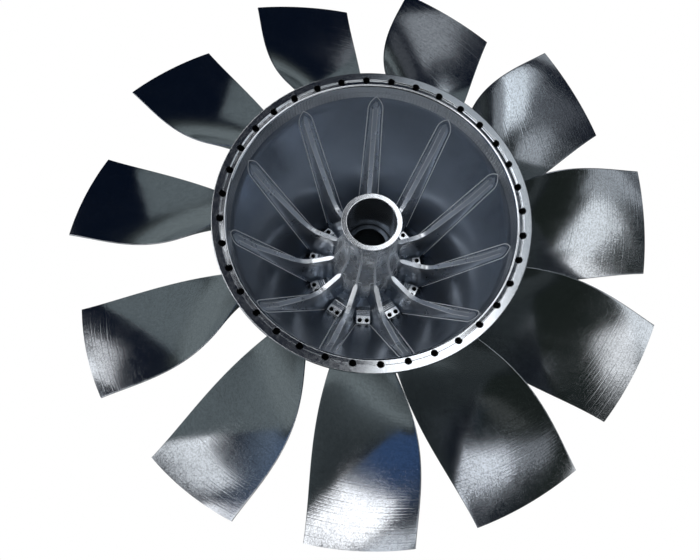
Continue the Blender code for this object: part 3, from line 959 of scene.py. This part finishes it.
# %% One rib
def rib_section(radius):
    """Half a slice, from the crown's middle to below the wall: sideways offsets, depths and the top."""
    along_nose = np.clip((radius - RIB_NOSE_RADIUS) / RIB_NOSE_LENGTH + 1, 0, 0.9998)
    nose = math.sqrt(1 - along_nose**2)
    root = np.clip((radius - CORNER_RADIUS + 0.002) / RIB_ROOT_LENGTH, RIB_ROOT_WIDTH, 1)
    crown, foot = RIB_CROWN * nose * root, rib_foot(radius) * nose
    wall = float(pocket_depth(radius))
    top = wall - (wall - rib_top(radius)) * nose**RIB_NOSE_CURVE
    edge = min(RIB_EDGE, crown / 2)
    drop = min(edge * pocket_steepness(radius), (wall - top) / 2)
    bend = np.linspace(0, math.pi / 2, 4)[1:]
    flank = np.linspace(0, 1, FLANK_STEPS)[1:] ** FLANK_PACKING
    low = wall + BURIED
    sides = crown + (foot - crown) * flank
    falls = low - (low - top - drop) * (1 - flank) ** RIB_HOLLOW
    flat, curve = [0, crown / 2, crown - edge * 1.4, crown - edge], crown - edge + edge * np.sin(bend)
    offsets = np.concatenate((flat, curve, sides, [foot + BURIED * nose]))
    depths = np.concatenate(([top] * 4, top + drop - drop * np.cos(bend), falls, [wall + 0.002]))
    return offsets, depths, top


def rib_slice(radius):
    """One slice of a rib, widened by a fillet where it meets the shaft tube."""
    offsets, depths, top = rib_section(radius)
    away = np.clip(radius - ridge_radius(depths), 0, 2 * RIB_TUBE_FILLET)
    fillet = RIB_TUBE_FILLET * (1 - away / (2 * RIB_TUBE_FILLET)) ** 2
    offsets = offsets + fillet * np.clip((depths - top - RIB_FILLET_START) / RIB_FILLET_GROWTH, 0, 1)
    offsets = np.concatenate((-offsets[:0:-1], offsets))
    depths = np.concatenate((depths[:0:-1], depths))
    return at(radius, RIB_ANGLE + np.degrees(offsets / max(radius, CORNER_RADIUS)), depths)


def rib_body():
    start = CORNER_RADIUS - 0.004
    shares = np.sin(np.linspace(0, math.pi / 2, RIB_STATIONS))
    radii = start + (RIB_NOSE_RADIUS - start) * shares
    return capped_sweep(np.array([rib_slice(radius) for radius in radii]))


# %% [markdown]
# Where the cutter's last pass along a rib meets the passes over the wall, it leaves a fine raised bead.
# The bead starts at the corner of a balance pad, runs up one side of the rib, turns in a pointed arch
# on the land, and comes down the other side. The ridge between two flutes of the tube is the same kind
# of line. Both are a small round section swept along a path on the surface.

# %% Fine beads
BEAD_STEPS = 56
BEAD_PACKING = 2.2
SLOPE_REACH = 0.0015
FLUTE_BEAD_OFFSET = 0.0052
RIDGE_WIDTH = 0.0012
RIDGE_HEIGHT = 0.0009
CROWN_BEAD_START = 0.072
CROWN_BEAD_WIDTH = 0.00035
CROWN_BEAD_HEIGHT = 0.0002
BEAD_SECTION = ((-1.2, -1.0), (-1, -0.3), (-0.5, 0.7), (0, 1), (0.5, 0.7), (1, -0.3), (1.2, -1.0))


def swept_bead(radius, angle, depth, out, down, half_width, height):
    """A thin raised line along a path on a surface that faces (out, down), in radius and depth."""
    path = at(radius, angle, depth)
    outward = at(radius + out, angle, depth + down) - path
    aside = np.cross(outward, np.gradient(path, axis=0))
    aside = aside / np.linalg.norm(aside, axis=1, keepdims=True) * half_width
    outward = outward / np.linalg.norm(outward, axis=1, keepdims=True) * height
    lines = [path + aside * across + outward * lift for across, lift in BEAD_SECTION]
    return capped_sweep(np.stack(lines, axis=1))


def on_path(travel):
    """The radius and depth at a distance along the bead's path."""
    travel = np.clip(travel, 0, PATH_LENGTHS[-1])
    return np.array([np.interp(travel, PATH_LENGTHS, PATH[:, i]) for i in (0, 1)])


def rib_bead():
    travel = PATH_LENGTHS[-1] * np.linspace(0, 1, BEAD_STEPS) ** BEAD_PACKING
    travel = np.concatenate((travel[::-1], travel[1:]))
    side = np.where(np.arange(len(travel)) < BEAD_STEPS, 1, -1)
    radius, depth = on_path(travel)
    angle = RIB_ANGLE + np.degrees(side * bead_offset(travel) / radius)
    fall, drop = on_path(travel + SLOPE_REACH) - on_path(travel - SLOPE_REACH)
    return swept_bead(radius, angle, depth, -drop, fall, BEAD_WIDTH, BEAD_HEIGHT)


def crown_bead(side):
    """The deburred edge of a rib's crown, where it lies along the wall."""
    radius = np.linspace(CROWN_BEAD_START, RIB_NOSE_RADIUS - RIB_NOSE_LENGTH, 40)
    depth = np.array([rib_top(r) for r in radius])
    angle = RIB_ANGLE + np.degrees(side * (RIB_CROWN - RIB_EDGE / 2) / radius)
    slope = np.gradient(depth) / np.gradient(radius)
    return swept_bead(radius, angle, depth, 0.001 * slope, -0.001, CROWN_BEAD_WIDTH, CROWN_BEAD_HEIGHT)


def tube_bead():
    depth = np.linspace(TUBE_END_DEPTH + 0.004, CORNER_DEPTH + 0.002, 30)
    return swept_bead(ridge_radius(depth), RIB_ANGLE, depth, 0.001, 0, RIDGE_WIDTH, RIDGE_HEIGHT)


def flute_bead(side):
    """The line where a rib's fillet runs out into a flute: an arch beside the ridge, down to the floor."""
    share = np.linspace(0, 1, 26)
    depth = CORNER_DEPTH - 0.004 + (FLOOR_DEPTH - 0.012 - CORNER_DEPTH) * share**1.6
    aside = side * FLUTE_BEAD_OFFSET * (1 - (1 - np.clip(share * 3, 0, 1)) ** 2)
    angle = RIB_ANGLE + np.degrees(aside / ridge_radius(depth))
    return swept_bead(tube_radius(angle, depth), angle, depth, 0.001, 0, BEAD_WIDTH * 0.8, BEAD_HEIGHT)


body = rib_body()
beads = (rib_bead(), tube_bead(), flute_bead(-1), flute_bead(1), crown_bead(-1), crown_bead(1))
ribs = add_piece("ribs", MILLED_RIB, body, *beads)
marks = np.arange(len(ribs.data.polygons)) >= len(body[1])
ribs.data.attributes.new("marked", "BOOLEAN", "FACE").data.foreach_set("value", marks)
run_tree(ribs, COPIES, copies=BLADES, finish=MILLED_RIB, marked_finish=SATIN_BEAD)

# %% [markdown]
# Between each two ribs a small pad with two holes stands on the floor, where balance weights can be
# screwed in or metal drilled away. Its inner side is cut in four short steps by the ball cutter.

# %% Balance pads
PAD_ANGLE = 134.9
PAD_RADIUS = 0.0566
PAD_LENGTH = 0.010
PAD_DEPTH = 0.1555
PAD_HOLE_RADIUS = 0.0022
PAD_HOLE_SPACING = 0.0073
PAD_HOLE_DEPTH = 0.006
PAD_RAMP = 0.0085
PAD_SCALLOPS = 4
PAD_RAMP_CURVE = 1.3
PAD_COUNTERSINK = 0.0002
SCALLOP_DEPTH = 0.0005
PAD_FOOT_DEPTH = FLOOR_DEPTH + 0.001
PAD_EDGE = ((0, 0.0003), (0.0001, 0.0001), (0.0003, 0), (0.0006, 0))


def pad_outline():
    """The pad's side view, (radius, depth): scalloped ramp, flat top, upright outer side, buried foot."""
    inner, outer = PAD_RADIUS - PAD_LENGTH / 2, PAD_RADIUS + PAD_LENGTH / 2
    share = np.linspace(0, 1, PAD_SCALLOPS * 8 + 1)
    hollow = SCALLOP_DEPTH * np.abs(np.sin(share * PAD_SCALLOPS * math.pi))
    ramp_depth = FLOOR_DEPTH + BURIED + (PAD_DEPTH - FLOOR_DEPTH) * share**PAD_RAMP_CURVE + hollow
    ramp = np.stack((inner - PAD_RAMP * (1 - share), ramp_depth), axis=-1)
    top = [(inner + 0.0003, PAD_DEPTH), (outer - 0.0006, PAD_DEPTH), (outer - 0.0003, PAD_DEPTH)]
    side = [(outer - 0.0001, PAD_DEPTH + 0.0001), (outer, PAD_DEPTH + 0.0003), (outer, FLOOR_DEPTH)]
    foot = [(outer, PAD_FOOT_DEPTH), (inner - PAD_RAMP, PAD_FOOT_DEPTH)]
    return np.concatenate((ramp, top, side, foot))


def balance_pads():
    radius, depth = pad_outline().T
    left = [(inset - PAD_WIDTH / 2, drop) for inset, drop in PAD_EDGE]
    right = [(-offset, drop) for offset, drop in left[::-1]]
    rows = []
    for offset, drop in left + right:
        angle = PAD_ANGLE + np.degrees(offset / radius)
        rows.append(at(radius, angle, np.minimum(depth + drop, PAD_FOOT_DEPTH)))
    return add_piece("balance_pads", MILLED_PAD, capped_sweep(np.array(rows)))


pads = balance_pads()
run_tree(pads, COPIES, copies=BLADES, finish=MILLED_PAD)
pad_bottom = PAD_DEPTH + PAD_HOLE_DEPTH
pad_drill = drill("pad_drill", PAD_HOLE_RADIUS, pad_bottom, PAD_DEPTH, PAD_COUNTERSINK, sides=20)
for side in (-1, 1):
    hole_angle = math.radians(PAD_ANGLE) + side * PAD_HOLE_SPACING / 2 / PAD_RADIUS
    run_tree(
        pads, DRILLED, drill=pad_drill, holes=BLADES, circle_radius=PAD_RADIUS, first_angle=hole_angle,
        reach=PAD_HOLE_RADIUS * DRILL_REACH, below=FACE_HEIGHT - PAD_DEPTH - 0.001, finish=TAPPED_HOLE_SHADE,
    )

# %% [markdown]
# A blade is a thin twisted sheet, steep at the hub and flat at the tip. Two curved edges bound it, and
# the surface between them bows a little. Its thickness tapers to the tip and to both edges, the edges
# are rounded, and a hollow fillet joins it to the hub. The map on it runs along the span and the chord,
# so that the milling lines of its finish can follow the blade.

# %% The blade's rule
TIP_RADIUS = 0.2798
TRAILING_EDGE = (
    (0.124, 109.6, 0.0127),
    (0.157, 114.6, 0.0327),
    (0.183, 115.9, 0.0437),
    (0.210, 115.6, 0.0517),
    (0.236, 114.3, 0.0579),
    (0.280, 111.8, 0.0680),
)
LEADING_EDGE = (
    (0.080, 86.6, 0.1290),
    (0.124, 86.4, 0.1256),
    (0.157, 87.0, 0.1220),
    (0.183, 88.2, 0.1173),
    (0.210, 89.6, 0.1122),
    (0.236, 90.9, 0.1078),
    (0.280, 92.1, 0.1038),
)
ROOT_THICKNESS = 0.0068
TIP_THICKNESS = 0.0024
EDGE_THICKNESS = 0.0011
THICKNESS_CURVE = 0.8
ROOT_CAMBER = 0.065
TIP_CAMBER = 0.012
ROOT_FILLET = 0.006
FILLET_FADE = 0.15
ROOT_SPAN = -0.0195
FILLET_SPAN = 0.05
SPAN_STEPS = 60
CHORD_STEPS = 34
BLADE_EDGE_STEPS = 5
BLADE_SHARP_EDGE = 40


def edge_curves(stations):
    """Smooth curves through an edge's (radius, angle, depth) stations, as functions of radius."""
    radius, angle, depth = np.array(stations).T
    return np.poly1d(np.polyfit(radius, angle, 3)), np.poly1d(np.polyfit(radius, depth, 3))


def edge_root(depth_curve, radius):
    """The radius where an edge meets the hub's cone."""
    for _ in range(40):
        radius = (radius + hub_radius(depth_curve(radius))) / 2
    return float(radius)


trailing_angle, trailing_depth = edge_curves(TRAILING_EDGE)
leading_angle, leading_depth = edge_curves(LEADING_EDGE)
trailing_root = edge_root(trailing_depth, TRAILING_EDGE[0][0])
leading_root = edge_root(leading_depth, LEADING_EDGE[0][0])


def blade_middle(span, chord):
    """A point of the blade's middle surface, from shares of the span and of the chord."""
    one = trailing_root + (TIP_RADIUS - trailing_root) * span
    two = leading_root + (TIP_RADIUS - leading_root) * span
    angle = trailing_angle(one) * (1 - chord) + leading_angle(two) * chord
    depth = trailing_depth(one) * (1 - chord) + leading_depth(two) * chord
    root = trailing_root + (leading_root - trailing_root) * chord
    radius = root + (TIP_RADIUS - root) * span
    across = np.radians(trailing_angle(one) - leading_angle(two)) * radius
    down = leading_depth(two) - trailing_depth(one)
    bow = (ROOT_CAMBER + (TIP_CAMBER - ROOT_CAMBER) * span) * 4 * chord * (1 - chord)
    return at(radius, angle + np.degrees(bow * down / radius), depth + bow * across)


print("blade roots at", round(trailing_root, 4), "and", round(leading_root, 4), "m from the axis")


# %% One blade
def half_thickness(span, chord):
    most = ROOT_THICKNESS + (TIP_THICKNESS - ROOT_THICKNESS) * np.clip(span, 0, 1) ** THICKNESS_CURVE
    return (EDGE_THICKNESS + (most - EDGE_THICKNESS) * (4 * chord * (1 - chord)) ** THICKNESS_CURVE) / 2


def blade_sides(span, chord):
    """The middle of the blade, with half its thickness square to it and along the chord."""
    small = 0.002
    along = blade_middle(span + small, chord) - blade_middle(span - small, chord)
    across = blade_middle(span, chord + small) - blade_middle(span, chord - small)
    normal = np.cross(along, across)
    normal /= np.linalg.norm(normal, axis=-1, keepdims=True)
    across /= np.linalg.norm(across, axis=-1, keepdims=True)
    reach = np.clip(ROOT_FILLET - span * FILLET_FADE, 0, ROOT_FILLET)
    fillet = ROOT_FILLET - np.sqrt(ROOT_FILLET**2 - reach**2)
    thick = (half_thickness(span, chord) + fillet)[..., None]
    return blade_middle(span, chord), normal * thick, across * thick


def end_faces(first, count, start):
    """Closes a ring of points with a ladder of faces, from the middle of one rounded edge to the other."""
    ladder = []
    for i in range(count // 2):
        steps = (start + i, start + i + 1, start - i - 1, start - i)
        ladder.append([first + corner for corner in dict.fromkeys(step % count for step in steps)])
    return ladder


def rounded_edge(span, end):
    """The half round that closes a blade's edge, at the end of the chord where it is 0 or 1."""
    point, up, forward = blade_sides(span, np.array([[end]]))
    bend = np.linspace(0, math.pi, BLADE_EDGE_STEPS + 2)[None, 1:-1, None]
    return point + (up * np.cos(bend) + forward * np.sin(bend)) * (1 if end else -1)


def one_blade():
    near_root = np.linspace(0, FILLET_SPAN, 7)[:-1]
    spans = np.concatenate(([ROOT_SPAN], near_root, np.linspace(FILLET_SPAN, 1, SPAN_STEPS)))
    chords = 0.5 - 0.5 * np.cos(np.linspace(0, math.pi, CHORD_STEPS + 1))
    span = spans[:, None]
    middle, up, _ = blade_sides(span, chords[None, :])
    front, back = rounded_edge(span, 1.0), rounded_edge(span, 0.0)
    points = np.concatenate((middle + up, front, (middle - up)[:, ::-1], back), axis=1)
    edge = np.ones(BLADE_EDGE_STEPS)
    chord_row = np.concatenate((chords, edge, chords[::-1], edge * 0))
    points[-1, :, :2] *= (TIP_RADIUS / np.hypot(points[-1, :, 0], points[-1, :, 1]))[:, None]
    rows, count = points.shape[:2]
    edge_middle = count - (BLADE_EDGE_STEPS + 1) // 2
    ends = end_faces(0, count, edge_middle) + end_faces((rows - 1) * count, count, edge_middle)
    faces = grid_faces(rows, count, False, True) + ends
    blade = add_piece("blades", MILLED_BLADE, (points, faces), sharp=BLADE_SHARP_EDGE)
    loops = np.zeros(len(blade.data.loops), int)
    blade.data.loops.foreach_get("vertex_index", loops)
    layer = blade.data.uv_layers.new(name="along_blade")
    chart = np.stack((spans[loops // count], chord_row[loops % count]), axis=-1)
    layer.data.foreach_set("uv", chart.ravel())
    return blade


blades = one_blade()
run_tree(blades, COPIES, sharp=BLADE_SHARP_EDGE, copies=BLADES, finish=MILLED_BLADE)


# %% [markdown]
# Each piece now rides the part's one body, and stands for the nodes that it refines.


# %% Hand the pieces over
def hand_over(piece, slot, *nodes):
    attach(piece, "root")
    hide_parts(*nodes)
    print(piece.name, "stands for", len(nodes), "nodes")


def numbered(name):
    return [f"{name}_{i:02}" for i in range(1, BLADES + 1)]


hand_over(flange, "flange", "flange_ring")
hand_over(hub, "hub", "hub_shell", "hub_base")
hand_over(tube, "tube", "shaft_tube")
hand_over(ribs, "rib", *numbered("rib"))
hand_over(pads, "balance_pad", *numbered("balance_pad"))
hand_over(blades, "blade", *numbered("blade"))
for helper in (bolt_drill, pad_drill):
    bpy.data.objects.remove(helper)

# %% [markdown]
# The floor is plain and pale. It glows instead of being lit by the lamps. Only the camera sees it fully
# lit: in the metal's reflections it glows a dim grey-green, painted light as on a bench top between
# the lamps that stand over it, with a painted shadow darkest under the rotor. Bare metal shows nothing
# but its surroundings, so this contrast is what makes it look like metal.

# %% Floor
FLOOR_REACH = 60.0
FLOOR_HEIGHT = -0.001
ROTOR_SHADE = (0.10, 0.26)
FLOOR_FADE = (0.5, 1.8)
LIT_SIDE = (-0.25, 0.15)
FLOOR_SHADE = (0.010, 0.013, 0.014, 1)
FLOOR_LIT = (0.145, 0.172, 0.180, 1)


def lit_floor(tree):
    """How much painted light the floor glows with: a painted shadow under the rotor, most just outside it,
    and less on one side.
    """
    x, y, _ = parts_of(tree, object_place(tree))
    away = from_axis(tree, x, y)
    outside = remap(tree, away, *ROTOR_SHADE, smooth=True)
    nearby = remap(tree, away, *FLOOR_FADE, 1.0, 0.1, smooth=True)
    lit_side = remap(tree, calc(tree, "SUBTRACT", y, x), *LIT_SIDE, 0.15, 1.0, smooth=True)
    return calc(tree, "MULTIPLY", calc(tree, "MULTIPLY", outside, nearby), lit_side)


def pale_floor():
    mesh = bpy.data.meshes.new("floor")
    sides = ((-1, -1), (1, -1), (1, 1), (-1, 1))
    corners = [(FLOOR_REACH * x, FLOOR_REACH * y, FLOOR_HEIGHT) for x, y in sides]
    mesh.from_pydata(corners, [], [(0, 1, 2, 3)])
    floor = put_in_scene("floor", mesh)
    material = bpy.data.materials.new("pale_floor")
    material.use_nodes = True
    mesh.materials.append(material)
    tree = material.node_tree
    tree.nodes.clear()
    shade_seen = mix_colours(tree, lit_floor(tree), FLOOR_SHADE, FLOOR_LIT)
    mirrored = add_node(tree, "ShaderNodeEmission", color=shade_seen)
    white = tree.nodes.new("ShaderNodeEmission")
    choose = tree.nodes.new("ShaderNodeMixShader")
    tree.links.new(tree.nodes.new("ShaderNodeLightPath").outputs["Is Camera Ray"], choose.inputs[0])
    tree.links.new(mirrored.outputs[0], choose.inputs[1])
    tree.links.new(white.outputs[0], choose.inputs[2])
    add_node(tree, "ShaderNodeOutputMaterial", surface=choose.outputs[0])
    return floor


pale_floor()

# %% [markdown]
# Round the bench the room is dark: navy overhead, blue to the left and green-black in front. The camera
# sees it white, like the floor.

# %% Room
ROOM_DARK = (0.0025, 0.0050, 0.012, 1)
ROOM_BLUE = (0.032, 0.066, 0.150, 1)
ROOM_HAZE = (0.105, 0.140, 0.190, 1)
ROOM_GREEN = (0.012, 0.016, 0.0145, 1)
ROOM_SEEN = (1.0, 1.0, 1.0, 1)


def room():
    world = bpy.data.worlds.new("room")
    world.use_nodes = True
    bpy.context.scene.world = world
    tree = world.node_tree
    x, y, _ = parts_of(tree, tree.nodes.new("ShaderNodeTexCoord").outputs["Generated"])
    green = remap(tree, calc(tree, "MULTIPLY", y, -1.0), 0.1, 0.5, smooth=True)
    blue = remap(tree, calc(tree, "MULTIPLY", x, -1.0), 0.70, 0.95, smooth=True)
    haze = remap(tree, y, -0.05, 0.5, smooth=True)
    dark = mix_colours(tree, green, ROOM_DARK, ROOM_GREEN)
    mirrored = mix_colours(tree, blue, dark, mix_colours(tree, haze, ROOM_BLUE, ROOM_HAZE))
    camera_ray = tree.nodes.new("ShaderNodeLightPath").outputs["Is Camera Ray"]
    tree.links.new(mix_colours(tree, camera_ray, mirrored, ROOM_SEEN), tree.nodes["Background"].inputs[0])


room()

# %% [markdown]
# Soft lamps stand round the bench, low and wide as in a workshop with windows. Each is given by the
# compass direction it lies in, its tilt away from straight up, how wide and tall it looks, and a twist.
# The inner lamps stand for light that the blades would block, so they light the hub's pieces only.

# %% Soft lamps
LAMP_DISTANCE = 10.0
CLEAR = (0.96, 0.98, 1.0)
SOFT_LAMPS = {
    # name: (compass, tilt, width, height, twist, brightness, tint)
    "overhead": (55, 16, 10.5, 24, 35, 1.3, (0.94, 0.97, 1.0)),
    "overhead_side": (61, 28, 9, 20, 58, 0.30, (0.84, 0.93, 1.0)),
    "inner_top": (105, 44, 12, 12, 0, 1.8, CLEAR),
    "inner_upper_left": (124, 44, 20, 17, 0, 1.1, CLEAR),
    "inner_left": (151, 32, 20, 20, 0, 2.2, CLEAR),
    "inner_lower_left": (187, 22, 18, 16, 0, 2.0, CLEAR),
    "inner_near": (242, 19, 24, 9, 0, 1.1, CLEAR),
    "inner_near_right": (300, 20, 20, 7, 0, 0.5, CLEAR),
    "inner_right": (352, 30, 22, 12, 0, 1.5, (0.9, 0.95, 1.0)),
    "inner_upper_right": (35, 42, 18, 10, 0, 0.5, (0.9, 0.95, 1.0)),
    "left_window": (176, 47, 18, 14.5, 0, 1.3, (0.97, 0.98, 1.0)),
    "upper_left_window": (131, 64, 15, 8, 0, 0.6, (0.95, 0.97, 1.0)),
    "upper_left_wide": (144, 57, 22, 10, 0, 0.7, (0.92, 0.96, 1.0)),
    "lower_left_bright": (204, 40.5, 15, 10, 0, 0.75, (0.88, 0.93, 1.0)),
    "lower_left_strip": (225, 42, 18, 8, 0, 0.18, (0.85, 0.9, 1.0)),
    "lower_left_glow": (224, 62, 9, 22, 0, 0.03, (0.95, 1.0, 1.0)),
    "near_strip": (277, 35, 15, 12, 0, 0.75, (0.95, 0.97, 1.0)),
    "near_right_window": (303, 43, 19, 15, 0, 0.72, (0.90, 0.95, 1.0)),
    "near_right_tail": (328, 50, 18, 16, 0, 0.28, (0.85, 0.92, 1.0)),
    "right_low": (346, 47, 20, 14, 0, 0.07, (0.85, 0.92, 1.0)),
    "right_window": (356, 64, 20, 16, 0, 0.7, (0.85, 0.93, 1.0)),
    "right_window_side": (354, 77, 22, 18, 0, 0.20, (0.85, 0.93, 1.0)),
    "far_right_wide": (27, 60, 18, 18, 0, 0.22, (0.88, 0.94, 1.0)),
    "far_right_low": (28, 84, 16, 16, 0, 0.05, (0.88, 0.94, 1.0)),
}
SEEN_BRIGHTNESS = 4.0
IN_HUB = bpy.data.collections.new("in_hub")
for piece in (flange, hub, tube, ribs, pads):
    IN_HUB.objects.link(piece)


def seen_size(angle):
    """How large a lamp has to be to look an angle wide from the middle of the bench."""
    return 2 * LAMP_DISTANCE * math.tan(math.radians(angle / 2))


def add_lamp(name, compass, tilt, width, height, twist, brightness, tint):
    data = bpy.data.lights.new(name, "AREA")
    data.shape = "RECTANGLE"
    data.size, data.size_y = seen_size(height), seen_size(width)
    data.energy = brightness * SEEN_BRIGHTNESS * data.size * data.size_y
    data.color = tint
    lamp = put_in_scene(name, data)
    turn, lean = math.radians(compass), math.radians(tilt)
    out, up = LAMP_DISTANCE * math.sin(lean), LAMP_DISTANCE * math.cos(lean)
    lamp.location = (out * math.cos(turn), out * math.sin(turn), FACE_HEIGHT + up)
    aim = Euler((0, lean, turn)).to_matrix() @ Euler((0, 0, math.radians(twist))).to_matrix()
    lamp.rotation_euler = aim.to_euler()
    if name.startswith("inner"):
        lamp.light_linking.receiver_collection = IN_HUB


for lamp_name, values in SOFT_LAMPS.items():
    add_lamp(lamp_name, *values)
bpy.context.scene.view_settings.view_transform = "Standard"
print(len(SOFT_LAMPS), "soft lamps")
